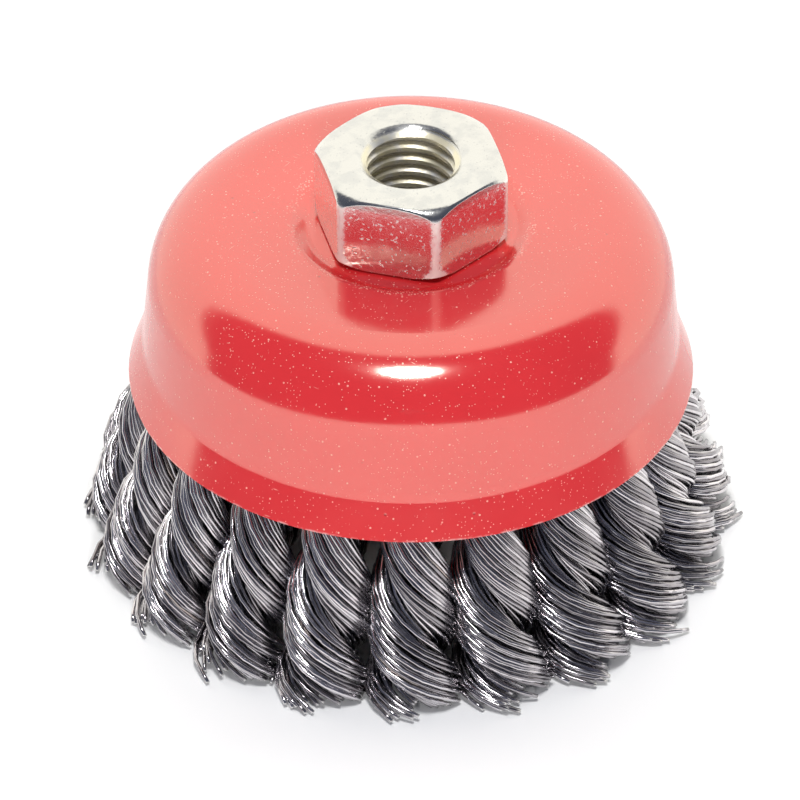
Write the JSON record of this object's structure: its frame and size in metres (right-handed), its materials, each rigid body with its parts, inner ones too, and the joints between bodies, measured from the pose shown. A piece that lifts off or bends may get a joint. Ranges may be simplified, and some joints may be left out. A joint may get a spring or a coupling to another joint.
{
  "type": "wire cup brush",
  "caption": "Red steel cup with a hexagonal threaded arbor nut and a ring of twisted wire knots, for an angle grinder.",
  "frame": {"origin": "on the spindle axis, in the plane of the wire tips that the brush stands on", "axes": "+Z along the spindle axis, from the wire tips to the arbor nut"},
  "size_m": [0.0898, 0.0898, 0.0623],
  "materials": {
    "red_paint": "glossy red paint, lightly scratched",
    "plated_steel": "bright zinc plating with fine speckle",
    "plain_steel": "plain pressed steel",
    "wire": "drawn carbon steel wire, bright where it catches the light"
  },
  "bodies": {
    "root": {"cup": "red_paint", "arbor_nut": "plated_steel", "holder_plate": "plain_steel", "clamp_washer": "plain_steel", "wire_knot_01": "wire", "wire_knot_02": "wire", "wire_knot_03": "wire", "wire_knot_04": "wire", "wire_knot_05": "wire", "wire_knot_06": "wire", "wire_knot_07": "wire", "wire_knot_08": "wire", "wire_knot_09": "wire", "wire_knot_10": "wire", "wire_knot_11": "wire", "wire_knot_12": "wire", "wire_knot_13": "wire", "wire_knot_14": "wire", "wire_knot_15": "wire", "wire_knot_16": "wire", "wire_knot_17": "wire", "wire_knot_18": "wire", "wire_knot_19": "wire", "wire_knot_20": "wire"}
  },
  "joints": []
}
